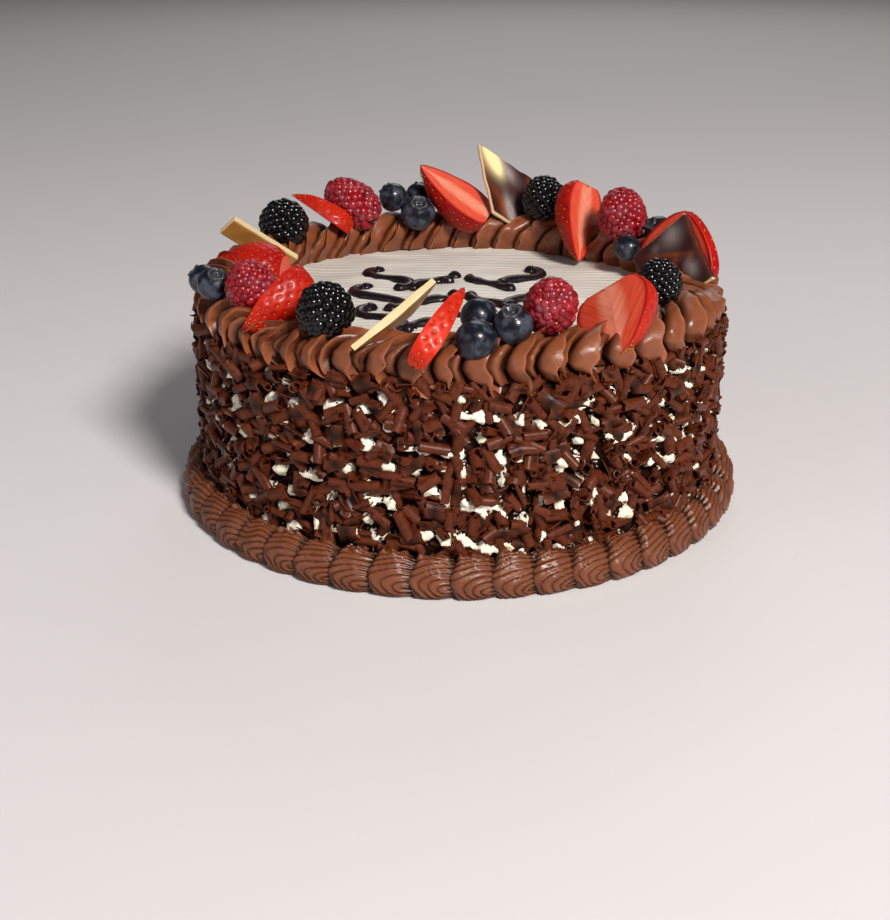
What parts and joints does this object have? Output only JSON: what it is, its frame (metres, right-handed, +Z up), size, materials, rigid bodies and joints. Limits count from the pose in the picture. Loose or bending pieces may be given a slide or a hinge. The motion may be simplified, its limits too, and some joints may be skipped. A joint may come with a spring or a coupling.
{
  "type": "chocolate berry cake",
  "caption": "Round layer cake with a side of chocolate curls, piped chocolate borders, a cream top with piped scrollwork, and berries, strawberries and chocolate pieces round its edge.",
  "frame": {"origin": "middle of the flat foot that the cake rests on", "axes": "+Z up, -Y towards the front of the cake, +X to its right"},
  "size_m": [0.2388, 0.2388, 0.1263],
  "materials": {
    "curls": "dark chocolate curls with a soft sheen",
    "cream": "whipped cream, combed smooth",
    "piping": "glossy dark chocolate icing",
    "chocolate_cream": "satin piped chocolate cream",
    "bramble": "glossy black drupelets",
    "raspberry": "soft red drupelets",
    "blueberry": "dark blue skin with a pale bloom",
    "strawberry": "glossy red skin with seeds, paler where cut",
    "batten": "white and caramel chocolate",
    "plaque": "marbled dark and white chocolate"
  },
  "bodies": {
    "root": {"cake": "curls", "top_border": "chocolate_cream", "bottom_border": "chocolate_cream", "bramble_a": "bramble", "bramble_b": "bramble", "bramble_c": "bramble", "bramble_d": "bramble", "raspberry_a": "raspberry", "raspberry_b": "raspberry", "raspberry_c": "raspberry", "raspberry_d": "raspberry", "blueberry_a": "blueberry", "blueberry_b": "blueberry", "blueberry_c": "blueberry", "blueberry_d": "blueberry", "blueberry_e": "blueberry", "blueberry_f": "blueberry", "blueberry_g": "blueberry", "blueberry_h": "blueberry", "blueberry_i": "blueberry", "blueberry_j": "blueberry", "strawberry_a": "strawberry", "strawberry_b": "strawberry", "strawberry_c": "strawberry", "strawberry_d": "strawberry", "strawberry_e": "strawberry", "strawberry_f": "strawberry", "strawberry_g": "strawberry", "strawberry_h": "strawberry", "stick_a": "batten", "stick_b": "batten", "plaque_a": "plaque", "plaque_b": "plaque"}
  },
  "joints": []
}
